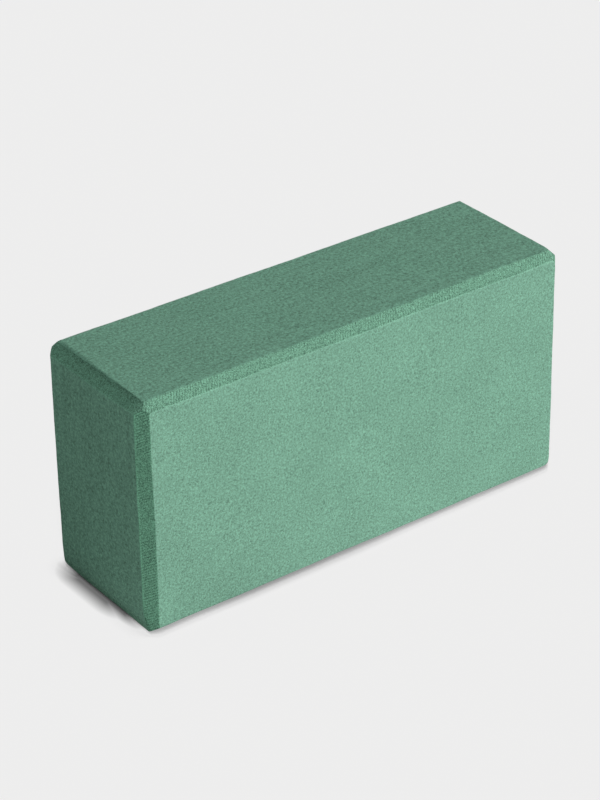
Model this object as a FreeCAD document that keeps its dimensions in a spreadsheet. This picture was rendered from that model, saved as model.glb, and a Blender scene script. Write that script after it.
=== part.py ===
# Yoga block: one brick of closed-cell foam, sawn square and bevelled along every edge.
# The origin is the middle of the base, as the block stands on a long narrow side:
# X along the length, Y through the thickness with the front broad face at -Y, Z up.
import FreeCAD, Part
import os
import Sketcher

# Driving dimensions in millimetres: name, value, what it measures.
SIZES = (
    ("length", 220.0, "from one end face to the other"),
    ("thickness", 70.0, "from the front broad face to the rear one"),
    ("height", 110.0, "from the base to the top, standing on a long narrow side"),
    ("bevel", 4.5, "leg of the 45 degree bevel along each edge"),
    ("arris_radius", 0.6, "softening of the arrises beside the bevels and of the corner mitres"),
)

# The three views that the edges are bevelled in: name, plane, size across, size up.
# A cutter runs along four parallel edges at a time, right through both ends of the brick.
BEVEL_PASSES = (
    ("upright_edges", "XY_Plane", "length", "thickness"),
    ("edges_through_thickness", "XZ_Plane", "length", "height"),
    ("long_edges", "YZ_Plane", "thickness", "height"),
)

# A sketched line's first and last point, and the sketch's own origin.
START, END = 1, 2
ORIGIN = (-1, START)

# The four corners of a view, as signs across and up, in order round the outline.
CORNERS = ((-1, -1), (1, -1), (1, 1), (-1, 1))


def add_sizes(document):
    """Writes the driving dimensions into a sheet, one named row each."""
    sheet = document.addObject("Spreadsheet::Sheet", "sizes")
    for row, (name, value, meaning) in enumerate(SIZES, start=1):
        sheet.set(f"A{row}", name)
        sheet.set(f"B{row}", str(value))
        sheet.setAlias(f"B{row}", name)
        sheet.set(f"C{row}", meaning)
    document.recompute()
    return sheet


def add_sketch(body, name, role):
    """Starts a sketch on one of the body's own origin planes, found by its role."""
    plane = next(item for item in body.Origin.OriginFeatures if item.Role == role)
    sketch = body.newObject("Sketcher::SketchObject", name)
    sketch.AttachmentSupport = [(plane, "")]
    sketch.MapMode = "FlatFace"
    return sketch


def bind(sketch, name, formula, kind, *places_and_value):
    """Adds a dimension to a sketch, names it and ties it to a formula of the sheet."""
    index = sketch.addConstraint(Sketcher.Constraint(kind, *places_and_value))
    sketch.renameConstraint(index, name)
    sketch.setExpression(f"Constraints.{name}", formula)


def draw_loop(sketch, points):
    """Draws a closed loop of lines through the points, and returns the lines' numbers."""
    following = points[1:] + points[:1]
    lines = [sketch.addGeometry(Part.LineSegment(a, b)) for a, b in zip(points, following)]
    for line, next_line in zip(lines, lines[1:] + lines[:1]):
        sketch.addConstraint(Sketcher.Constraint("Coincident", line, END, next_line, START))
    return lines


def draw_base(body, sheet):
    """Draws the sawn outline, length by thickness, with its middle at the origin."""
    sketch = add_sketch(body, "sawn_outline", "XY_Plane")
    half = FreeCAD.Vector(sheet.length / 2, sheet.thickness / 2, 0)
    corners = [FreeCAD.Vector(across * half.x, up * half.y, 0) for across, up in CORNERS]
    front, right, rear, left = draw_loop(sketch, corners)
    for line in (front, rear):
        sketch.addConstraint(Sketcher.Constraint("Horizontal", line))
    for line in (right, left):
        sketch.addConstraint(Sketcher.Constraint("Vertical", line))
    sketch.addConstraint(Sketcher.Constraint("Symmetric", front, START, right, END, *ORIGIN))
    bind(sketch, "length", "sizes.length", "DistanceX", front, START, front, END, sheet.length)
    bind(sketch, "thickness", "sizes.thickness", "DistanceY", right, START, right, END, sheet.thickness)
    return sketch


def draw_bevel_pass(body, sheet, name, role, size_across, size_up):
    """Draws the four corner triangles that one pass of the bevel cutter takes away."""
    sketch = add_sketch(body, f"{name}_outline", role)
    half_across = getattr(sheet, size_across) / 2
    half_up = getattr(sheet, size_up) / 2
    for number, (across, up) in enumerate(CORNERS):
        corner = FreeCAD.Vector(across * half_across, up * half_up, 0)
        along = corner - FreeCAD.Vector(across * sheet.bevel, 0, 0)
        beside = corner - FreeCAD.Vector(0, up * sheet.bevel, 0)
        level_leg, slope, plumb_leg = draw_loop(sketch, [corner, along, beside])
        sketch.addConstraint(Sketcher.Constraint("Horizontal", level_leg))
        sketch.addConstraint(Sketcher.Constraint("Vertical", plumb_leg))
        bind(sketch, f"level_leg_{number}", "sizes.bevel", "Distance", level_leg, sheet.bevel)
        bind(sketch, f"plumb_leg_{number}", "sizes.bevel", "Distance", plumb_leg, sheet.bevel)
        tip = (level_leg, START)
        reach_across = (tip + ORIGIN) if across < 0 else (ORIGIN + tip)
        reach_up = (tip + ORIGIN) if up < 0 else (ORIGIN + tip)
        bind(sketch, f"across_{number}", f"sizes.{size_across} / 2", "DistanceX", *reach_across, half_across)
        bind(sketch, f"up_{number}", f"sizes.{size_up} / 2", "DistanceY", *reach_up, half_up)
    return sketch


def add_foam_block(document, sheet):
    """Builds the brick about its middle: sawn square, bevelled, its arrises softened by the cutter."""
    body = document.addObject("PartDesign::Body", "foam_block")
    body.Label = "foam_block"

    brick = body.newObject("PartDesign::Pad", "sawn_brick")
    brick.Profile = draw_base(body, sheet)
    brick.SideType = "Symmetric"
    brick.setExpression("Length", "sizes.height")
    document.recompute()

    for name, role, size_across, size_up in BEVEL_PASSES:
        uncut = body.Shape.Volume
        bevels = body.newObject("PartDesign::Pocket", f"{name}_bevels")
        bevels.Profile = draw_bevel_pass(body, sheet, name, role, size_across, size_up)
        bevels.Type = "ThroughAll"
        bevels.SideType = "Symmetric"
        document.recompute()
        if body.Shape.Volume >= uncut:
            raise RuntimeError(f"{bevels.Label} takes nothing away")

    arrises = body.newObject("PartDesign::Fillet", "softened_arrises")
    arrises.Base = (bevels, [])
    arrises.UseAllEdges = True
    arrises.setExpression("Radius", "sizes.arris_radius")

    # The block stands with its base on the origin's level.
    body.setExpression("Placement.Base.z", "sizes.height / 2")
    document.recompute()
    return body


def check_build(document, pieces):
    """Stops the build if any object failed, or if a piece isn't one closed, valid solid."""
    for item in document.Objects:
        if "Invalid" in item.State or "Error" in item.State:
            raise RuntimeError(f"{item.Label} failed: {item.State}")
    for piece in pieces:
        if piece.Shape.isNull() or not piece.Shape.isValid():
            raise RuntimeError(f"{piece.Label} has no valid shape")
        if len(piece.Shape.Solids) != 1:
            raise RuntimeError(f"{piece.Label} is not one solid")


def main():
    document = FreeCAD.newDocument("yoga_block")
    sheet = add_sizes(document)
    pieces = [add_foam_block(document, sheet)]
    check_build(document, pieces)
    os.makedirs("parts", exist_ok=True)
    for piece in pieces:
        piece.Shape.exportStep(f"parts/{piece.Label}.step")
        print(f"{piece.Label}: {piece.Shape.Volume / 1000:.1f} cm3, {len(piece.Shape.Faces)} faces")


main()
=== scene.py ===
"""Yoga block: one brick of sage green closed-cell foam on a pale studio floor.

The frame is that of the CAD row: X along the length, Y through the thickness with the front
broad face at -Y, Z up, and the origin in the middle of the base. Sizes in the classes are in
millimetres and become metres once, where a mesh or an object is made.
"""

import logging
import math
from dataclasses import dataclass, field, fields
from enum import Enum
from itertools import permutations, product
from typing import Any

import bpy
import numpy as np
from mathutils import Matrix, Vector


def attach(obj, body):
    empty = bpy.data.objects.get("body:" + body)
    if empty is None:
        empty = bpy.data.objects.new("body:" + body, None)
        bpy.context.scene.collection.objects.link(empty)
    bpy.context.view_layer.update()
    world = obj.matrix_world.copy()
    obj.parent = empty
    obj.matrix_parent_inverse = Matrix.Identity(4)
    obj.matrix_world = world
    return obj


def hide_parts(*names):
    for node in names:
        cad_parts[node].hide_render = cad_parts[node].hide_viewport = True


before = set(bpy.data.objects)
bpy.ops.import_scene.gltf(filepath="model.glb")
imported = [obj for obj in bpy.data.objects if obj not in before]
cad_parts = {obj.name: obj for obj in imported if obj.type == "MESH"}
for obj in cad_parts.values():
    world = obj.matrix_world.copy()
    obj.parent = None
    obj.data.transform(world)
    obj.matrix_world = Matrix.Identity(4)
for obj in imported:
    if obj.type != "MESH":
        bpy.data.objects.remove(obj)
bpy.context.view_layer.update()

LOG = logging.getLogger("yoga_block")
METRES_PER_MM = 0.001

# The mesh layers that the foam's materials read: the painted arris highlight and the painted arris shade.
CUT_MAP = "CutMap"
PAINTED_ARRIS_HIGHLIGHT = "painted_arris_highlight_layer"
PAINTED_ARRIS_SHADE = "painted_arris_shade_layer"

# A wave node's bands repeat every 2 pi / 20 of its own unit.
WAVE_PERIOD = 2 * math.pi / 20
# Further in from an arris, in millimetres, than any mark reaches.
FAR_IN = 99.0
# A point that lies this far out from an arris, in millimetres, is on the bevel.
ON_BEVEL = -0.01
# Lengths and shares closer than these count as none and as equal.
NO_LENGTH = 1e-9
SAME_SHARE = 1e-6


def linear(hex_colour: str) -> tuple[float, float, float, float]:
    """Turns a written colour into the linear one that Blender's sockets take.

    Args:
        hex_colour: An sRGB colour such as "#7BAA93".

    Returns:
        Red, green, blue and an alpha of 1, linear.
    """
    channels = [int(hex_colour[place:place + 2], 16) / 255 for place in (1, 3, 5)]
    red, green, blue = [c / 12.92 if c <= 0.04045 else ((c + 0.055) / 1.055) ** 2.4 for c in channels]
    return red, green, blue, 1.0


def add_node(
    tree: bpy.types.NodeTree, kind: str, inputs: dict[str | int, Any] | None = None, **settings: Any
) -> bpy.types.Node:
    """Adds a node to a tree, with its settings, its values and its links.

    Args:
        tree: The node tree of a material or of the world.
        kind: The node's type, without the ShaderNode that Blender puts before it.
        inputs: What each input socket takes: another node's output, which is linked, or a value.
        settings: The node's own properties by name.

    Returns:
        The new node.
    """
    node = tree.nodes.new(f"ShaderNode{kind}")
    for name, value in settings.items():
        setattr(node, name, value)
    for socket, value in (inputs or {}).items():
        if isinstance(value, bpy.types.NodeSocket):
            tree.links.new(value, node.inputs[socket])
        else:
            node.inputs[socket].default_value = value
    return node


class Side(Enum):
    """A sawn face of the brick, as the axis that it faces along and which way."""

    LEFT = (0, -1)
    RIGHT = (0, 1)
    FRONT = (1, -1)
    REAR = (1, 1)
    BASE = (2, -1)
    TOP = (2, 1)

    @property
    def axis(self) -> int:
        """The axis that the face looks along: 0 for X, 1 for Y, 2 for Z."""
        return self.value[0]

    @property
    def sign(self) -> int:
        """Which way along that axis the face looks."""
        return self.value[1]

    @property
    def normal(self) -> np.ndarray:
        """The face's outward direction."""
        direction = np.zeros(3)
        direction[self.axis] = self.sign
        return direction


class Cut(Enum):
    """How a face of the foam was cut, in the order of the mesh's material slots."""

    SKIVED = 0
    SAWN = 1
    ROUTED_CROSS = 2
    ROUTED_UPRIGHT = 3
    ROUTED_LONG = 4


# The cut of each sawn face, by the axis that it looks along.
FACE_CUTS = (Cut.SAWN, Cut.SKIVED, Cut.SAWN)
# The cut of each bevel, by the axis that it runs along.
BEVEL_CUTS = (Cut.ROUTED_LONG, Cut.ROUTED_CROSS, Cut.ROUTED_UPRIGHT)


@dataclass(frozen=True)
class FoamFinish:
    """EVA foam as one kind of cut leaves it.

    Closed-cell EVA is a mass of fine bubbles, and every cut opens them: the surface is quite
    matt, and a speckle of lit cell walls and darker hollows shows all over it. The real cells
    are about 0.2 mm wide and the picture's pixels 0.55 mm, so the cells are drawn coarser.

    Sizes end in _mm. Cell, grain, mottle, streak and hatch are how far each pattern moves the tone
    between hollow and crown.
    """

    name: str
    hollow: str
    crown: str
    roughness: float
    cell_mm: float = 0.4
    cell: float = 0.7
    grain_mm: float = 0.9
    grain: float = 0.95
    grain_depth_mm: float = 0.05
    mottle_mm: float = 26.0
    mottle: float = 0.2
    streak_mm: tuple[float, float] = (60.0, 1.6)
    streak: float = 0.0
    hatch_mm: float = 1.2
    hatch_lean: float = 24.0
    hatch: float = 0.0
    hatch_depth_mm: float = 0.0
    patch_mm: float = 17.0
    patch_edges: tuple[float, float] = (0.4, 0.6)
    # How much of the painted arris highlight shows where the edge is smooth, and of the painted arris shade
    # where it is hatched.
    least_painted_arris_highlight: float = 0.4
    least_painted_arris_shade: float = 0.5
    roughness_spread: float = 0.05
    ior: float = 1.49
    specular: float = 0.25

    def material(self) -> bpy.types.Material:
        """Builds the foam's material.

        Returns:
            A Principled material whose colour, roughness and relief come from the foam's patterns.
        """
        material = bpy.data.materials.new(self.name)
        material.use_nodes = True
        tree = material.node_tree
        tree.nodes.clear()

        place = add_node(tree, "TexCoord").outputs["Object"]
        mm_per_metre = (1 / METRES_PER_MM,) * 3
        place_mm = add_node(tree, "VectorMath", {0: place, 1: mm_per_metre}, operation="MULTIPLY").outputs[0]
        map_mm = add_node(tree, "UVMap", uv_map=CUT_MAP).outputs["UV"]

        # Cut cells each catch the light in their own way, and the walls between them make a finer grain.
        cells = add_node(
            tree, "TexVoronoi", {"Vector": place_mm, "Scale": 1 / self.cell_mm}
        ).outputs["Color"]
        grain = add_node(
            tree, "TexNoise", {"Vector": place_mm, "Scale": 1 / self.grain_mm, "Detail": 1.0}
        ).outputs[0]
        mottle = add_node(
            tree, "TexNoise", {"Vector": place_mm, "Scale": 1 / self.mottle_mm, "Detail": 2.0}
        ).outputs[0]
        streak_scale = (1 / self.streak_mm[0], 1 / self.streak_mm[1], 1.0)
        streak_place = add_node(tree, "Mapping", {"Vector": map_mm, "Scale": streak_scale}).outputs[0]
        streak = add_node(
            tree, "TexNoise", {"Vector": streak_place, "Scale": 1.0, "Detail": 2.0}, noise_dimensions="2D"
        ).outputs[0]

        # The cutter's marks come and go along an edge, hatched or smooth, and the painted arris highlight
        # and painted arris shade come and go with them.
        drift = add_node(
            tree, "TexNoise", {"Vector": place_mm, "Scale": 1 / self.patch_mm, "Detail": 1.0}
        ).outputs[0]
        smooth, hatched = self.patch_edges
        patch = add_node(
            tree, "MapRange", {"Value": drift, "From Min": smooth, "From Max": hatched}
        ).outputs[0]
        clear = add_node(tree, "Math", {0: 1.0, 1: patch}, operation="SUBTRACT").outputs[0]
        hatch_place = add_node(
            tree, "Mapping", {"Vector": map_mm, "Rotation": (0.0, 0.0, math.radians(self.hatch_lean))}
        ).outputs[0]
        wave = add_node(
            tree,
            "TexWave",
            {
                "Vector": hatch_place,
                "Scale": WAVE_PERIOD / self.hatch_mm,
                "Distortion": 2.0,
                "Detail": 1.0,
                "Detail Scale": 0.8,
            },
        ).outputs["Fac"]
        level = add_node(tree, "Math", {0: wave, 1: 0.5}, operation="SUBTRACT").outputs[0]
        hatch = add_node(tree, "Math", {0: level, 1: patch}, operation="MULTIPLY").outputs[0]
        # Painted light along the arrises: a painted highlight, and a painted shade beside it on the bevel.
        painted_arris_highlight_layer = add_node(tree, "Attribute", attribute_name=PAINTED_ARRIS_HIGHLIGHT).outputs["Fac"]
        showing = add_node(tree, "MapRange", {"Value": patch, "To Min": self.least_painted_arris_highlight}).outputs[0]
        painted_arris_highlight = add_node(tree, "Math", {0: painted_arris_highlight_layer, 1: showing}, operation="MULTIPLY").outputs[0]
        painted_arris_shade_layer = add_node(tree, "Attribute", attribute_name=PAINTED_ARRIS_SHADE).outputs["Fac"]
        lasting = add_node(tree, "MapRange", {"Value": clear, "To Min": self.least_painted_arris_shade}).outputs[0]
        painted_arris_shade = add_node(tree, "Math", {0: painted_arris_shade_layer, 1: lasting}, operation="MULTIPLY").outputs[0]

        # Each pattern moves the tone away from the middle, half way between hollow and crown.
        tone = 0.5 - 0.5 * (self.cell + self.grain + self.mottle + self.streak)
        for pattern, weight in (
            (cells, self.cell),
            (grain, self.grain),
            (mottle, self.mottle),
            (streak, self.streak),
            (hatch, self.hatch),
            (painted_arris_highlight, 1.0),
            (painted_arris_shade, -1.0),
        ):
            tone = add_node(
                tree, "Math", {0: pattern, 1: weight, 2: tone}, operation="MULTIPLY_ADD"
            ).outputs[0]
        colour = add_node(
            tree, "Mix", {0: tone, 6: linear(self.hollow), 7: linear(self.crown)}, data_type="RGBA"
        ).outputs[2]
        roughest = self.roughness + self.roughness_spread
        smoothest = self.roughness - self.roughness_spread
        roughness = add_node(
            tree, "MapRange", {"Value": tone, "To Min": roughest, "To Max": smoothest}
        ).outputs[0]
        relief = add_node(
            tree, "Bump", {"Height": grain, "Distance": self.grain_depth_mm * METRES_PER_MM}
        ).outputs[0]
        hatch_depth = self.hatch_depth_mm * METRES_PER_MM
        relief = add_node(
            tree, "Bump", {"Height": hatch, "Distance": hatch_depth, "Normal": relief}
        ).outputs[0]
        foam = add_node(
            tree,
            "BsdfPrincipled",
            {
                "Base Color": colour,
                "Roughness": roughness,
                "Normal": relief,
                "IOR": self.ior,
                "Specular IOR Level": self.specular,
            },
        )
        add_node(tree, "OutputMaterial", {"Surface": foam.outputs[0]})
        return material


FINISHES = {
    # Skived: the band knife splits sheets off the bun, and leaves an even fine grain, softly mottled.
    Cut.SKIVED: FoamFinish("eva_foam_skived", "#597C6B", "#94CCB1", 0.88),
    # Sawn: the block is cut from the sheet by a running blade, which leaves faint lines along its way.
    Cut.SAWN: FoamFinish(
        "eva_foam_sawn",
        "#597C6B",
        "#94CCB1",
        0.9,
        cell=0.6,
        grain_mm=1.2,
        grain=1.1,
        streak=0.25,
        mottle=0.12,
    ),
    # Routed: the rotary cutter tears the cells open, so the bevels are darker and greener, and its
    # teeth leave a hatch. The three routed finishes are one foam with colours set apart for the light
    # on each bevel, so part of their darkness is painted shade, the most on the upright bevels.
    Cut.ROUTED_CROSS: FoamFinish(
        "eva_foam_routed_cross",
        "#3E5A4C",
        "#8FC8AB",
        0.92,
        cell_mm=0.3,
        cell=0.85,
        grain=0.65,
        mottle=0.1,
        hatch=0.1,
        hatch_depth_mm=0.03,
    ),
    Cut.ROUTED_UPRIGHT: FoamFinish(
        "eva_foam_routed_upright",
        "#395747",
        "#83C2A2",
        0.92,
        cell_mm=0.3,
        cell=1.1,
        grain=0.25,
        hatch=0.28,
        hatch_depth_mm=0.08,
    ),
    Cut.ROUTED_LONG: FoamFinish(
        "eva_foam_routed_long",
        "#3F5D4E",
        "#94CFB1",
        0.92,
        cell_mm=0.24,
        cell=1.2,
        grain=0.0,
        mottle=0.06,
        hatch=0.25,
        hatch_depth_mm=0.06,
    ),
}


@dataclass(frozen=True)
class BevelLegs:
    """How far a bevel reaches onto its two faces, at the low and the high end of its edge."""

    on_first: tuple[float, float]
    on_second: tuple[float, float]


@dataclass(frozen=True)
class ArrisMark:
    """Painted light along an arris: a pale line of painted highlight, and a dark line of painted shade
    beside it on the bevel.

    Their places are measured from the arris onto the face, so they are negative on the bevel.
    """

    pale: float = 0.0
    pale_at: float = 0.0
    pale_width: float = 0.35
    dark: float = 0.0
    dark_at: float = -0.6
    dark_width: float = 0.5


@dataclass(frozen=True)
class CornerRub:
    """How a corner is worn off: how far past the point where its bevels meet, and how softly."""

    depth: float = 0.35
    softness: float = 1.5


@dataclass
class Stations:
    """The grid lines across one axis of the brick, from its low end to its high end.

    A line in a bevel has a share from 0 at the bevel's middle to 1 at its arris. A line on the
    flat beside it has a gap from the arris. The rest have a plain place.
    """

    side: np.ndarray
    share: np.ndarray
    gap: np.ndarray
    place: np.ndarray


@dataclass
class FaceGrid:
    """One face's grid, with the half of each bevel that lies beside it, before its arrises are softened.

    Each point has its place, its indices on the three axes, its share in the two bevels that it
    may lie in, its way in from their two arrises and from the face's rounded outline (negative
    where it lies in a bevel), and how strong its painted arris highlight and painted arris shade are.
    """

    points: np.ndarray
    index: np.ndarray
    share: np.ndarray
    inward: np.ndarray
    arris: np.ndarray
    painted_arris_highlight: np.ndarray
    painted_arris_shade: np.ndarray


@dataclass
class FoamCells:
    """The mesh's cells: the points of each, its cut, and its flat map in millimetres."""

    faces: list[tuple[int, ...]] = field(default_factory=list)
    cuts: list[int] = field(default_factory=list)
    flat_maps: list[np.ndarray] = field(default_factory=list)


@dataclass
class FoamBlock:
    """The brick itself: sawn square, bevelled along every edge, its corners worn round.

    The bevels are hand-fed past a cutter, so each has its own width and wanders a little. The
    top rises slightly to its rear left corner, and the left end's lower rim rolls under. The
    mesh is a grid over a box whose lines follow the arrises; it is then drawn onto the rounded
    intersection of the six faces, the twelve bevels and the eight worn corners.
    """

    name: str = "foam_brick"
    length: float = 220.0
    thickness: float = 70.0
    height: float = 110.0
    bevel: float = 4.6
    bevel_spread: float = 0.3
    arris_softness: float = 0.2
    corner_round: float = 1.8
    wander: float = 0.1
    wander_waves: tuple[float, ...] = (83.0, 37.0, 19.0, 10.5, 6.1)
    face_swell: float = 0.1
    swell_waves: tuple[float, float] = (71.0, 93.0)
    # Each ripple's length, its share of the swell, and how far it runs along the face's two axes.
    ripples: tuple[tuple[float, float, float, float], ...] = ((41.0, 0.5, 1.0, 0.6), (23.0, 0.3, -0.4, 1.0))
    top_lift: float = 0.7
    rim_roll: float = 1.5
    rim_rise: float = 18.0
    grid: float = 1.5
    bevel_shares: tuple[float, ...] = (0.0, 0.25, 0.5, 0.68, 0.8, 0.88, 0.95, 1.0)
    flat_gaps: tuple[float, ...] = (0.2, 0.45, 0.8, 1.2, 1.8, 3.0)
    drawing_steps: int = 8
    seed: int = 11
    legs: dict[tuple[Side, Side], BevelLegs] = field(
        default_factory=lambda: {
            (Side.TOP, Side.FRONT): BevelLegs((4.3, 4.3), (3.4, 3.4)),
            (Side.FRONT, Side.LEFT): BevelLegs((5.1, 5.0), (4.4, 4.4)),
            (Side.TOP, Side.LEFT): BevelLegs((5.2, 5.05), (4.2, 4.2)),
            (Side.BASE, Side.LEFT): BevelLegs((3.6, 4.6), (5.7, 6.2)),
            (Side.BASE, Side.FRONT): BevelLegs((6.45, 5.7), (4.6, 4.05)),
            (Side.TOP, Side.REAR): BevelLegs((3.4, 5.6), (4.5, 4.5)),
            (Side.TOP, Side.RIGHT): BevelLegs((4.5, 4.5), (4.4, 4.4)),
            (Side.FRONT, Side.RIGHT): BevelLegs((4.6, 4.6), (5.2, 5.2)),
            (Side.REAR, Side.LEFT): BevelLegs((4.5, 4.5), (5.1, 5.1)),
        }
    )
    # The painted arris highlight and painted arris shade, by the axes of a face and of its neighbour.
    marks: dict[tuple[int, int], ArrisMark] = field(
        default_factory=lambda: {
            (0, 1): ArrisMark(pale=0.45, pale_at=-0.25),
            (0, 2): ArrisMark(pale=0.3, pale_at=-0.1),
            (1, 0): ArrisMark(pale=0.08, pale_at=0.2),
            (1, 2): ArrisMark(pale=0.22, pale_at=0.15, dark=0.14),
            (2, 0): ArrisMark(dark=0.15, dark_at=-0.7, dark_width=1.4),
            (2, 1): ArrisMark(),
        }
    )
    corners: dict[tuple[Side, Side, Side], CornerRub] = field(
        default_factory=lambda: {
            (Side.LEFT, Side.FRONT, Side.BASE): CornerRub(0.1, 0.8),
            (Side.LEFT, Side.FRONT, Side.TOP): CornerRub(0.9, 3.4),
            (Side.LEFT, Side.REAR, Side.BASE): CornerRub(0.5, 1.5),
            (Side.LEFT, Side.REAR, Side.TOP): CornerRub(0.0, 1.6),
            (Side.RIGHT, Side.FRONT, Side.BASE): CornerRub(1.1, 2.0),
            (Side.RIGHT, Side.FRONT, Side.TOP): CornerRub(0.8, 2.5),
        }
    )

    def __post_init__(self) -> None:
        """Works out the half sizes, the grid lines, each edge's own legs and wander, and the corners."""
        self.half = np.array([self.length, self.thickness, self.height]) / 2
        self.stations = [self.lay_stations(half) for half in self.half]
        pairs = [(first, second) for first, second in product(Side, Side) if first.axis > second.axis]
        self.edges: dict[tuple[Side, Side], tuple[np.ndarray, np.ndarray]] = {}
        for number, pair in enumerate(pairs):
            chance = np.random.default_rng((self.seed, number))
            ends = self.bevel + chance.uniform(-self.bevel_spread, self.bevel_spread, (2, 2))
            if pair in self.legs:
                ends = np.array([self.legs[pair].on_first, self.legs[pair].on_second])
            self.edges[pair] = (ends, chance.uniform(0, 2 * math.pi, (2, len(self.wander_waves))))
        chance = np.random.default_rng(self.seed)
        self.swells = {side: chance.uniform(0, 2 * math.pi, 4) for side in Side}
        self.corner_depth = np.zeros((2, 2, 2))
        self.corner_softness = np.zeros((2, 2, 2))
        for x, y, z in product((0, 1), repeat=3):
            sides = Side((0, 2 * x - 1)), Side((1, 2 * y - 1)), Side((2, 2 * z - 1))
            rub = self.corners.get(sides, CornerRub())
            meeting = self.mitre(*sides)[0]
            self.corner_depth[x, y, z] = (self.half - np.abs(meeting)).sum() / math.sqrt(3) + rub.depth
            self.corner_softness[x, y, z] = rub.softness

    def lay_stations(self, half: float) -> Stations:
        """Lays the grid lines across one axis.

        Args:
            half: Half the brick's size along the axis.

        Returns:
            The lines, close together at the arrises and evenly spaced between them.
        """
        shares = np.array(self.bevel_shares)
        gaps = np.array(self.flat_gaps)
        reach = self.bevel + gaps[-1]
        cells = round(2 * (half - reach) / self.grid)
        inner = np.linspace(reach - half, half - reach, cells + 1)[1:-1]
        zone_share = np.concatenate([shares, np.ones(len(gaps))])
        zone_gap = np.concatenate([np.zeros(len(shares)), gaps])
        in_bevel = self.bevel * (1 + zone_share) / 2
        zone_place = half - np.where(zone_share < 1, in_bevel, self.bevel + zone_gap)
        zone_side = np.ones(len(zone_share), int)
        none = np.zeros(len(inner))
        return Stations(
            np.concatenate([-zone_side, none.astype(int), zone_side]),
            np.concatenate([zone_share, none + 1, zone_share[::-1]]),
            np.concatenate([zone_gap, none + gaps[-1], zone_gap[::-1]]),
            np.concatenate([-zone_place, inner, zone_place[::-1]]),
        )

    def edge_legs(self, first: Side, second: Side, along: np.ndarray) -> tuple[np.ndarray, np.ndarray]:
        """Gives a bevel's two legs at places along its edge.

        Args:
            first: One face of the edge.
            second: The other face.
            along: Places along the edge, from the brick's middle.

        Returns:
            The leg on the first face and the leg on the second.
        """
        if first.axis < second.axis:
            on_second, on_first = self.edge_legs(second, first, along)
            return on_first, on_second
        ends, waves = self.edges[first, second]
        axis = 3 - first.axis - second.axis
        along = np.clip(along, self.bevel - self.half[axis], self.half[axis] - self.bevel)
        reach = (along / self.half[axis] + 1) / 2
        legs = []
        for (low, high), phases in zip(ends, waves):
            drift = sum(
                np.cos(2 * math.pi * along / wave + phase) / (place + 1)
                for place, (wave, phase) in enumerate(zip(self.wander_waves, phases))
            )
            legs.append(low + (high - low) * reach + self.wander * drift)
        return legs[0], legs[1]

    def corner_leg(self, face: Side, beside: Side, end: Side) -> float:
        """Gives how far the bevel with a neighbour reaches onto a face, at one end of their edge."""
        along = np.array([end.sign * self.half[end.axis]])
        return float(self.edge_legs(face, beside, along)[0][0])

    def mitre(self, face: Side, beside: Side, above: Side) -> tuple[np.ndarray, ...]:
        """Gives the points that a corner is drawn between, on one face's share of it.

        Args:
            face: The face.
            beside: One of its neighbours at the corner.
            above: The other neighbour.

        Returns:
            Where the three bevels meet, the face's own corner, and the middles of its bevels with
            the one neighbour and with the other, where the corner begins.
        """
        sides = (face, beside, above)
        leg = {(one, two): self.corner_leg(one, two, end) for one, two, end in permutations(sides)}
        planes = np.zeros((3, 3))
        for row, (one, two) in enumerate(((0, 1), (0, 2), (1, 2))):
            planes[row, one] = 1 / leg[sides[two], sides[one]]
            planes[row, two] = 1 / leg[sides[one], sides[two]]
        insets = (
            np.linalg.solve(planes, np.ones(3)),
            (0.0, leg[face, beside], leg[face, above]),
            (leg[beside, face] / 2, leg[face, beside] / 2, (leg[face, above] + leg[beside, above]) / 2),
            (leg[above, face] / 2, (leg[face, beside] + leg[above, beside]) / 2, leg[face, above] / 2),
        )
        spots = np.zeros((4, 3))
        for spot, inset in zip(spots, insets):
            for side, depth in zip(sides, inset):
                spot[side.axis] = side.sign * (self.half[side.axis] - depth)
        return tuple(spots)

    def swell(self, side: Side, points: np.ndarray) -> np.ndarray:
        """Gives how far a face stands proud of its plane: foam is never sawn quite flat.

        Args:
            side: The face.
            points: Points near it, from the brick's middle.

        Returns:
            The height over the plane at each point; the base stays flat on the floor.
        """
        if side is Side.BASE:
            return np.zeros(len(points))
        across, up = [axis for axis in range(3) if axis != side.axis]
        u, v = points[:, across], points[:, up]
        u_phase, v_phase, *phases = self.swells[side]
        u_wave, v_wave = self.swell_waves
        waves = np.cos(2 * math.pi * u / u_wave + u_phase) * np.cos(2 * math.pi * v / v_wave + v_phase)
        for (length, share, along_u, along_v), phase in zip(self.ripples, phases):
            waves = waves + share * np.cos(2 * math.pi * (along_u * u + along_v * v) / length + phase)
        height = self.face_swell * waves
        if side is Side.TOP:
            left = np.clip(0.5 - points[:, 0] / self.length, 0, 1)
            rear = np.clip(0.5 + points[:, 1] / self.thickness, 0, 1)
            height = height + self.top_lift * left * rear
        # The rim's roll grows from nothing at its rise to its full depth about where the bevel begins.
        if side is Side.LEFT:
            low = np.clip(1 - (points[:, 2] + self.half[2]) / self.rim_rise, 0, 1)
            height = height - self.rim_roll * (low * self.rim_rise / (self.rim_rise - self.bevel)) ** 2
        return height

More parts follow.
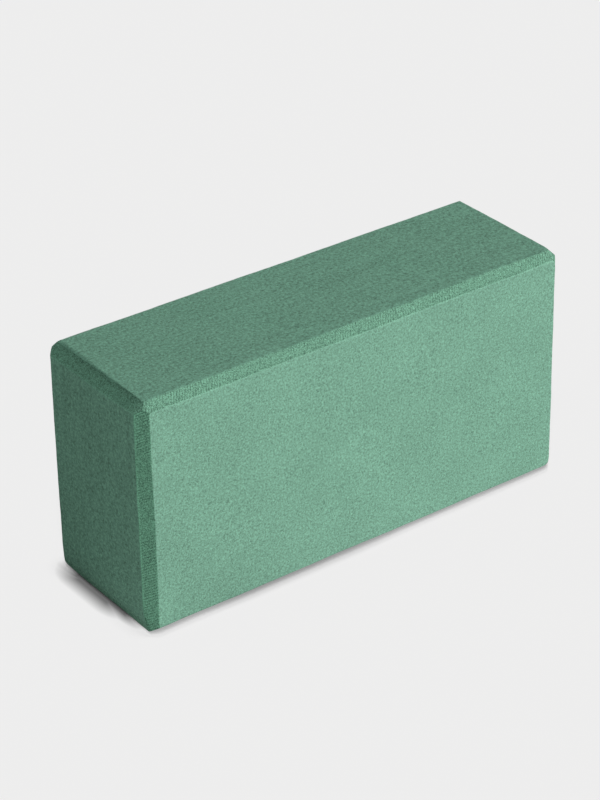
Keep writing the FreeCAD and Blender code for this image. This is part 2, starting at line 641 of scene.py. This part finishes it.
    def surface(self, points: np.ndarray) -> tuple[np.ndarray, np.ndarray]:
        """Measures how far points are outside the brick.

        Args:
            points: Points near the surface, from the brick's middle.

        Returns:
            Each point's distance, negative inside, and the direction in which it grows.
        """
        softness = self.arris_softness
        total = np.zeros(len(points))
        lean = np.zeros_like(points)
        deepest = np.full(len(points), -np.inf)
        steepest = np.zeros_like(points)
        inset = {side: self.half[side.axis] - side.sign * points[:, side.axis] for side in Side}
        cuts: list[tuple[np.ndarray, np.ndarray]] = []
        for side in Side:
            proud = -inset[side] - self.swell(side, points)
            cuts.append((proud, np.broadcast_to(side.normal, points.shape)))
        for first, second in self.edges:
            axis = 3 - first.axis - second.axis
            on_first, on_second = self.edge_legs(first, second, points[:, axis])
            slope = np.sqrt(1 / on_first**2 + 1 / on_second**2)
            distance = (1 - inset[second] / on_first - inset[first] / on_second) / slope
            outward = second.normal / on_first[:, None] + first.normal / on_second[:, None]
            cuts.append((distance, outward / slope[:, None]))
        for distance, normal in cuts:
            share = np.maximum(distance + softness, 0)
            total += share**2
            lean += share[:, None] * normal
            nearer = distance > deepest
            deepest = np.where(nearer, distance, deepest)
            steepest = np.where(nearer[:, None], normal, steepest)
        length = np.sqrt(total)
        touched = length > NO_LENGTH
        distance = np.where(touched, length - softness, deepest)
        slope = np.where(touched[:, None], lean / np.maximum(length, NO_LENGTH)[:, None], steepest)

        outward = np.where(points < 0, -1.0, 1.0)
        octant = tuple((points > 0).astype(int).T)
        corner = (np.abs(points) - self.half).sum(1) / math.sqrt(3) + self.corner_depth[octant]
        softness = self.corner_softness[octant]
        overlap = np.clip(1 - np.abs(distance - corner) / softness, 0, 1)
        share = np.clip(0.5 + 0.5 * (corner - distance) / softness, 0, 1)[:, None]
        rounded = np.maximum(distance, corner) + overlap**2 * softness / 4
        return rounded, slope * (1 - share) + outward / math.sqrt(3) * share

    def lay_face(self, side: Side) -> FaceGrid:
        """Lays one face's grid over the brick while its arrises are still sharp.

        Args:
            side: The face, with the half of each bevel that lies beside it.

        Returns:
            The grid.
        """
        axes = [axis for axis in range(3) if axis != side.axis]
        lines = np.meshgrid(*(np.arange(len(self.stations[axis].place)) for axis in axes), indexing="ij")
        index = np.zeros((*lines[0].shape, 3), int)
        index[..., axes[0]], index[..., axes[1]] = lines
        index[..., side.axis] = 0 if side.sign < 0 else len(self.stations[side.axis].place) - 1
        edge, share, gap, place = (
            np.stack([getattr(self.stations[axis], name)[index[..., axis]] for axis in axes], axis=-1)
            for name in ("side", "share", "gap", "place")
        )
        points = np.zeros(index.shape)
        depth = np.zeros(lines[0].shape)
        inward = np.full(share.shape, FAR_IN)
        end_gap = self.flat_gaps[-1]
        for slot, axis in enumerate(axes):
            points[..., axis] = place[..., slot]
            for sign in (-1, 1):
                zone = edge[..., slot] == sign
                beside = Side((axis, sign))
                t, t_other = share[zone][:, slot], share[zone][:, 1 - slot]
                on_face, below = self.edge_legs(side, beside, place[zone][:, 1 - slot])
                # Within the next bevel the grid leans towards that bevel's own middle at the corner.
                others = [Side((axes[1 - slot], end)) for end in (-1, 1)]
                thirds = np.array([self.corner_leg(other, beside, side) for other in others])
                third = thirds[(edge[zone][:, 1 - slot] > 0).astype(int)]
                base = on_face + (third - on_face) * (1 - t_other) / 2
                away = gap[zone][:, slot] * (self.bevel + end_gap - base) / end_gap
                inset = np.where(t < 1, on_face * (1 + t) / 2, base + away)
                points[zone, axis] = sign * (self.half[axis] - inset)
                depth[zone] = np.maximum(depth[zone], below * (1 - t) / 2)
                inward[zone, slot] = np.where(t < 1, (t - 1) * np.hypot(on_face, below) / 2, away)
        points[..., side.axis] = side.sign * (self.half[side.axis] - depth)
        mitred = (share < 1).all(-1)
        for ends in product((-1, 1), repeat=2):
            zone = mitred & (edge == ends).all(-1)
            meeting, corner, *middles = self.mitre(side, *(Side(pair) for pair in zip(axes, ends)))
            t = share[zone]
            least = t.min(1, keepdims=True)
            points[zone] = (
                meeting
                + least * (corner - meeting)
                + (t[:, :1] - least) * (middles[1] - meeting)
                + (t[:, 1:] - least) * (middles[0] - meeting)
            )
        # The face's outline turns its corners in a small arc: beyond it lies torn foam, as on the bevels.
        round_off = np.maximum(self.corner_round - inward, 0)
        arris = self.corner_round - np.hypot(round_off[..., 0], round_off[..., 1])
        marks = [self.marks[side.axis, axis] for axis in axes]
        # The painted arris highlight turns the outline's corners with it. The painted arris shade is on
        # the bevel only, and runs right up to the mitre.
        nearest = inward.min(-1)
        near = inward.argmin(-1)
        pale, pale_at, pale_width, dark, dark_at, dark_width = (
            np.array([getattr(mark, item.name) for mark in marks])[near] for item in fields(ArrisMark)
        )
        painted_arris_highlight = pale * np.exp(-(((arris - pale_at) / pale_width) ** 2))
        # The painted arris highlight is left off the arrises that stand just over the floor.
        if side.axis != Side.BASE.axis:
            painted_arris_highlight = np.where((near == 1) & (points[..., 2] < 0), 0.0, painted_arris_highlight)
        painted_arris_shade = np.where(nearest < ON_BEVEL, dark * np.exp(-(((nearest - dark_at) / dark_width) ** 2)), 0.0)
        return FaceGrid(points, index, share, inward, arris, painted_arris_highlight, painted_arris_shade)

    def draw_onto_surface(self, points: np.ndarray) -> np.ndarray:
        """Draws the sharp grid's points onto the softened surface.

        Args:
            points: The grid's points, from the brick's middle.

        Returns:
            The points on the surface.
        """
        for _ in range(self.drawing_steps):
            distance, slope = self.surface(points)
            points = points - distance[:, None] * slope / (slope**2).sum(1)[:, None]
        return points

    def build(self) -> bpy.types.Object:
        """Builds the brick's mesh, its layers and its materials.

        Returns:
            The finished piece, riding on the row's body in place of the CAD node.
        """
        counts = [len(station.place) for station in self.stations]
        number = np.full(counts, -1)
        points: list[np.ndarray] = []
        # Each point's painted arris highlight and painted arris shade.
        tones: dict[str, list[np.ndarray]] = {PAINTED_ARRIS_HIGHLIGHT: [], PAINTED_ARRIS_SHADE: []}
        cells = FoamCells()
        total = 0
        for side in Side:
            grid = self.lay_face(side)
            flat = grid.index.reshape(-1, 3)
            new = number[tuple(flat.T)] < 0
            number[tuple(flat[new].T)] = total + np.arange(new.sum())
            total += int(new.sum())
            points.append(grid.points.reshape(-1, 3)[new])
            tones[PAINTED_ARRIS_HIGHLIGHT].append(grid.painted_arris_highlight.reshape(-1)[new])
            tones[PAINTED_ARRIS_SHADE].append(grid.painted_arris_shade.reshape(-1)[new])
            self.lay_cells(side, number[tuple(np.moveaxis(grid.index, -1, 0))], grid, cells)
        corners = self.draw_onto_surface(np.concatenate(points))
        corners[:, 2] += self.half[2]

        mesh = bpy.data.meshes.new(self.name)
        mesh.from_pydata((corners * METRES_PER_MM).tolist(), [], cells.faces)
        mesh.polygons.foreach_set("material_index", np.array(cells.cuts, np.int32))
        mesh.polygons.foreach_set("use_smooth", np.ones(len(cells.faces), bool))
        mesh.uv_layers.new(name=CUT_MAP).data.foreach_set("uv", np.concatenate(cells.flat_maps).ravel())
        for name, tone in tones.items():
            layer = mesh.attributes.new(name, "FLOAT", "POINT")
            layer.data.foreach_set("value", np.concatenate(tone))
        for cut in Cut:
            mesh.materials.append(FINISHES[cut].material())
        mesh.update()

        brick = bpy.data.objects.new(self.name, mesh)
        bpy.context.scene.collection.objects.link(brick)
        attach(brick, "root")
        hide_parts("foam_block")
        LOG.info("%s: %d points, %d faces", self.name, len(mesh.vertices), len(mesh.polygons))
        return brick

    def lay_cells(self, side: Side, ids: np.ndarray, grid: FaceGrid, cells: FoamCells) -> None:
        """Lays the cells of one face's grid, each with its cut and its flat map in millimetres.

        Args:
            side: The face.
            ids: The numbers of the grid's points in the mesh.
            grid: The face's grid.
            cells: The mesh's cells so far, added to here.
        """
        across, up = [axis for axis in range(3) if axis != side.axis]
        turned = (side.axis == 1) != (side.sign < 0)
        # A sawn end's blade runs up the brick, and the other faces' along it.
        face_axes = (2, 1) if side.axis == 0 else (across, up)
        middle = (grid.share[1:, 1:] + grid.share[:-1, :-1]) / 2
        for i in range(ids.shape[0] - 1):
            for j in range(ids.shape[1] - 1):
                ring = [(i, j), (i + 1, j), (i + 1, j + 1), (i, j + 1)]
                first, second = middle[i, j]
                pieces = [ring]
                if first < 1 and second < 1 and abs(first - second) < SAME_SHARE:
                    # A mitre runs along the cell's diagonal, from its outer corner to its inner one.
                    outer = min(range(4), key=lambda k: grid.share[ring[k]].sum())
                    ring = ring[outer:] + ring[:outer]
                    pieces = [ring[:3], [ring[0], *ring[2:]]]
                for piece in pieces:
                    rows = tuple(zip(*piece))
                    spots = grid.points[rows]
                    if grid.arris[rows].mean() > 0:
                        cut = FACE_CUTS[side.axis]
                        flat = spots[:, list(face_axes)]
                    else:
                        inward = grid.inward[rows]
                        slot = int(inward[:, 1].mean() < inward[:, 0].mean())
                        along, beside = (up, across) if slot == 0 else (across, up)
                        way = 1 if side.axis > beside else -1
                        cut = BEVEL_CUTS[along]
                        down = (inward[:, slot] + self.bevel / math.sqrt(2)) * way
                        flat = np.column_stack([spots[:, along], down])
                    corners = [int(ids[corner]) for corner in piece]
                    if turned:
                        corners.reverse()
                        flat = flat[::-1]
                    cells.faces.append(tuple(corners))
                    cells.cuts.append(cut.value)
                    cells.flat_maps.append(flat)


@dataclass(frozen=True)
class Sun:
    """A far lamp, by the way that its light comes from and the level that it gives a surface facing it.

    A level of 1 shows a colour as it is written.
    """

    name: str
    level: float
    azimuth: float
    elevation: float
    spread: float
    colour: str


def direction(azimuth: float, elevation: float) -> Vector:
    """Gives the way to a place seen at an azimuth, from the front towards the right, and an elevation."""
    turn, rise = math.radians(azimuth), math.radians(elevation)
    return Vector((math.sin(turn) * math.cos(rise), -math.cos(turn) * math.cos(rise), math.sin(rise)))


@dataclass(frozen=True)
class Shade:
    """A painted shadow on the floor: a soft-edged dark place.

    It has a middle, a core of a half size each way, an edge that fades over its reach, and a depth.
    """

    middle: tuple[float, float]
    core: tuple[float, float]
    reach: tuple[float, float]
    depth: float = 1.0


@dataclass
class Studio:
    """A pale floor that runs out of the picture, and soft lamps at a plain level.

    The floor's own lamps stand in the camera's upright plane, so that the brick hides their cast
    shadows and only the soft contact shadow along its lower edges shows. The key lamp would throw
    a long shadow past the left end, so it lights the brick alone and the floor's material stands
    in for it with painted light and shade: a glow for the key lamp's light, painted shadows beside
    that end and faintly under the front, and painted dark places where the long shadow would lie,
    which send the brick little light back.
    """

    floor_size: float = 12000.0
    floor_colour: str = "#EEEEEE"
    # Part of the floor's paleness is its own glow, painted light that stands in for the key lamp's light on
    # the floor.
    floor_glow: float = 0.42
    # Painted shadows in the floor's shown colour: two beside the left end, and a faint one under the front.
    shown_shades: tuple[Shade, ...] = (
        Shade((-100.0, 11.0), (8.4, 11.0), (7.0, 15.0), 0.97),
        Shade((-100.0, 6.5), (7.5, 18.5), (4.0, 14.0), 0.97),
        Shade((-30.0, -24.0), (22.0, 8.0), (32.0, 5.0), 0.2),
    )
    # How far the painted shadows darken the lamp-lit part of the floor.
    shade_depth: float = 0.66
    floor_bounce: str = "#A7A7A7"
    # Painted dark places in the colour that the floor sends back to the brick: a strip beside the left end,
    # a long one where the key lamp's shadow would lie, and one before the front's lower left; they darken
    # the brick near them.
    bounce_shades: tuple[Shade, ...] = (
        Shade((-104.0, 10.0), (10.0, 25.0), (8.0, 20.0)),
        Shade((-384.0, 88.0), (284.0, 77.0), (167.0, 16.0), 0.9),
        Shade((-74.0, -35.0), (24.0, 20.0), (12.0, 15.0), 0.6),
    )
    fill_colour: str = "#F1FFFC"
    fill: float = 0.05
    key_colour: str = "#FFFCFC"
    key_level: float = 0.82
    key_azimuth: float = 32.0
    key_elevation: float = 21.3
    key_distance: float = 4200.0
    key_size: float = 1300.0
    aim_height: float = 55.0
    soft_light: Sun = Sun("soft_light", 0.279, -46.3, 52.1, 90.0, "#F1FFFC")
    # The rear lamp stands as low as the brick, so that the top takes next to nothing from it.
    rear_lamp: Sun = Sun("rear_lamp", 0.4, 160.0, 1.5, 2.0, "#FFFCFC")
    floor_lamps: tuple[Sun, ...] = (
        Sun("floor_lamp_1", 0.1252, -36.3, 36.5, 6.0, "#FFFEFE"),
        Sun("floor_lamp_2", 0.2889, -36.3, 42.3, 7.0, "#FFFEFE"),
        Sun("floor_lamp_3", 0.3563, -36.3, 49.8, 8.0, "#FFFEFE"),
        Sun("floor_lamp_4", 0.2985, -36.3, 59.4, 9.0, "#FFFEFE"),
        Sun("overhead", 0.15, 25.6, 87.2, 4.0, "#FFFEFE"),
    )

    def build_floor(self) -> bpy.types.Object:
        """Builds the floor, whose paleness is for the camera and doesn't light the block.

        Returns:
            The floor.
        """
        half = self.floor_size / 2 * METRES_PER_MM
        mesh = bpy.data.meshes.new("floor")
        corners = [(-half, -half, 0), (half, -half, 0), (half, half, 0), (-half, half, 0)]
        mesh.from_pydata(corners, [], [(0, 1, 2, 3)])
        material = bpy.data.materials.new("matt_paper")
        material.use_nodes = True
        tree = material.node_tree
        tree.nodes.clear()
        shown = self.add_shown(tree)
        # Where the painted shadows lie, the glow is taken away and the lamp-lit paper is darkened.
        shade = self.add_shades(tree, self.shown_shades)
        paleness = linear(self.floor_colour)
        strength = add_node(
            tree, "MapRange", {"Value": shade, "To Min": self.floor_glow, "To Max": 0.0}
        ).outputs[0]
        strength = add_node(tree, "Math", {0: strength, 1: shown}, operation="MULTIPLY").outputs[0]
        glow = add_node(tree, "Emission", {"Color": paleness, "Strength": strength}).outputs[0]
        level = 1 - self.floor_glow
        level = add_node(
            tree, "MapRange", {"Value": shade, "To Min": level, "To Max": level * (1 - self.shade_depth)}
        ).outputs[0]
        pale = add_node(tree, "VectorMath", {0: paleness[:3], "Scale": level}, operation="SCALE").outputs[0]
        # The painted shadows and painted dark places darken the colour that the floor sends back to the
        # brick.
        dark = self.add_shades(tree, self.shown_shades + self.bounce_shades)
        bounce = add_node(
            tree, "Mix", {0: dark, 6: linear(self.floor_bounce), 7: (0.0, 0.0, 0.0, 1.0)}, data_type="RGBA"
        ).outputs[2]
        colour = add_node(tree, "Mix", {0: shown, 6: bounce, 7: pale}, data_type="RGBA").outputs[2]
        paper = add_node(tree, "BsdfDiffuse", {"Color": colour}).outputs[0]
        look = add_node(tree, "AddShader", {0: paper, 1: glow})
        add_node(tree, "OutputMaterial", {"Surface": look.outputs[0]})
        mesh.materials.append(material)
        floor = bpy.data.objects.new("floor", mesh)
        bpy.context.scene.collection.objects.link(floor)
        LOG.info("floor: %.0f mm square", self.floor_size)
        return floor

    def add_shown(self, tree: bpy.types.NodeTree) -> bpy.types.NodeSocket:
        """Adds the test of whether a ray shows its surface: seen straight, in a gloss or through glass.

        Args:
            tree: The node tree of a material or of the world.

        Returns:
            The output that is 1 for such a ray, and 0 for one that only brings light.
        """
        ray = add_node(tree, "LightPath").outputs
        shown = ray["Is Camera Ray"]
        for other in ("Is Glossy Ray", "Is Transmission Ray"):
            shown = add_node(tree, "Math", {0: shown, 1: ray[other]}, operation="MAXIMUM").outputs[0]
        return shown

    def add_shades(self, tree: bpy.types.NodeTree, shades: tuple[Shade, ...]) -> bpy.types.NodeSocket:
        """Adds painted shadows to the floor's material.

        Args:
            tree: The node tree of the floor's material.
            shades: The shades' sizes.

        Returns:
            The output that is the deepest shade's depth in its core, and 0 beyond the reach of them all.
        """
        place = add_node(tree, "TexCoord").outputs["Object"]
        deepest: bpy.types.NodeSocket | float = 0.0
        for shade in shades:
            step = list(zip(shade.middle, shade.core, shade.reach))
            spot = add_node(
                tree,
                "Mapping",
                {
                    "Vector": place,
                    "Location": (*(-at / reach for at, _, reach in step), 0.0),
                    "Scale": (*(1 / (reach * METRES_PER_MM) for _, _, reach in step), 1.0),
                },
            ).outputs[0]
            away = add_node(tree, "VectorMath", {0: spot}, operation="ABSOLUTE").outputs[0]
            core = (*(half / reach for _, half, reach in step), 0.0)
            away = add_node(tree, "VectorMath", {0: away, 1: core}, operation="SUBTRACT").outputs[0]
            away = add_node(
                tree, "VectorMath", {0: away, 1: (0.0, 0.0, 0.0)}, operation="MAXIMUM"
            ).outputs[0]
            level = add_node(
                tree, "TexGradient", {"Vector": away}, gradient_type="SPHERICAL"
            ).outputs["Fac"]
            level = add_node(tree, "Math", {0: level, 1: shade.depth}, operation="MULTIPLY").outputs[0]
            deepest = add_node(tree, "Math", {0: level, 1: deepest}, operation="MAXIMUM").outputs[0]
        return deepest

    def build_world(self) -> None:
        """Builds the even fill light, which shows as pale as the floor."""
        world = bpy.data.worlds.new("studio_fill")
        world.use_nodes = True
        tree = world.node_tree
        tree.nodes.clear()
        red, green, blue, _ = linear(self.fill_colour)
        fill = (red * self.fill, green * self.fill, blue * self.fill, 1.0)
        colour = add_node(
            tree, "Mix", {0: self.add_shown(tree), 6: fill, 7: linear(self.floor_colour)}, data_type="RGBA"
        ).outputs[2]
        light = add_node(tree, "Background", {"Color": colour, "Strength": 1.0})
        add_node(tree, "OutputWorld", {"Surface": light.outputs[0]})
        bpy.context.scene.world = world

    def place_lamp(self, data: bpy.types.Light, towards: Vector, lights: bpy.types.Object) -> None:
        """Puts a lamp in its place, turned to the block and lighting one object only.

        Args:
            data: The lamp's own settings.
            towards: The way from the block to the lamp.
            lights: The one object that it lights.
        """
        lamp = bpy.data.objects.new(data.name, data)
        bpy.context.scene.collection.objects.link(lamp)
        aim = Vector((0.0, 0.0, self.aim_height))
        lamp.location = (aim + towards * self.key_distance) * METRES_PER_MM
        lamp.rotation_mode = "QUATERNION"
        lamp.rotation_quaternion = (-towards).to_track_quat("-Z", "Y")
        lit = bpy.data.collections.new(f"{data.name}_lights")
        lit.objects.link(lights)
        lamp.light_linking.receiver_collection = lit
        LOG.info("%s: %s lamp on %s", data.name, data.type.lower(), lights.name)

    def add_sun(self, sun: Sun, lights: bpy.types.Object) -> None:
        """Adds a far lamp.

        Args:
            sun: The lamp's sizes.
            lights: The one object that it lights.
        """
        data = bpy.data.lights.new(sun.name, "SUN")
        data.energy = sun.level * math.pi
        data.angle = math.radians(sun.spread)
        data.color = linear(sun.colour)[:3]
        self.place_lamp(data, direction(sun.azimuth, sun.elevation), lights)

    def build(self, brick: bpy.types.Object) -> None:
        """Builds the floor, the fill and the lamps.

        Args:
            brick: The piece that the key lamp lights.
        """
        floor = self.build_floor()
        self.build_world()
        # The floor stays a neutral white: it takes no green light back from the brick.
        brick.visible_diffuse = False
        key = bpy.data.lights.new("key", "AREA")
        # A square lamp's level falls with the square of its distance.
        key.energy = self.key_level * (math.pi * self.key_distance * METRES_PER_MM) ** 2
        key.size = self.key_size * METRES_PER_MM
        key.color = linear(self.key_colour)[:3]
        self.place_lamp(key, direction(self.key_azimuth, self.key_elevation), brick)
        self.add_sun(self.soft_light, brick)
        self.add_sun(self.rear_lamp, brick)
        for sun in self.floor_lamps:
            self.add_sun(sun, floor)


@dataclass
class PhotoCamera:
    """The camera as it was fitted to the brick's outline and arrises."""

    focal: float = 130.136
    long_side: float = 36.0
    azimuth: float = -36.275
    elevation: float = 30.1289
    roll: float = -1.01445
    distance: float = 1237.26
    middle: tuple[float, float, float] = (0.0, 0.0, 55.0)
    aside: float = -4.974
    above: float = 3.462
    near_clip: float = 50.0

    def build(self) -> bpy.types.Object:
        """Builds the camera and makes it the scene's own.

        Returns:
            The camera.
        """
        roll = math.radians(self.roll)
        back = direction(self.azimuth, self.elevation)
        level = Vector((0.0, 0.0, 1.0)).cross(back).normalized()
        upright = back.cross(level)
        right = level * math.cos(roll) + upright * math.sin(roll)
        above = upright * math.cos(roll) - level * math.sin(roll)
        aim = Vector(self.middle) + right * self.aside + above * self.above
        place = (aim + back * self.distance) * METRES_PER_MM
        data = bpy.data.cameras.new("photo_camera")
        data.lens = self.focal
        data.sensor_width = self.long_side
        data.clip_start = self.near_clip * METRES_PER_MM
        camera = bpy.data.objects.new("photo_camera", data)
        turn = Matrix((right, above, back)).transposed().to_4x4()
        camera.matrix_world = Matrix.Translation(place) @ turn
        bpy.context.scene.collection.objects.link(camera)
        bpy.context.scene.camera = camera
        LOG.info("photo_camera: %.1f mm lens, %.0f mm away", self.focal, self.distance)
        return camera


def main() -> None:
    """Builds the brick, the studio and the camera."""
    logging.basicConfig(level=logging.INFO, format="%(name)s: %(message)s")
    bpy.context.scene.view_settings.view_transform = "Standard"
    PhotoCamera().build()
    brick = FoamBlock().build()
    Studio().build(brick)


if __name__ == "__main__":
    main()
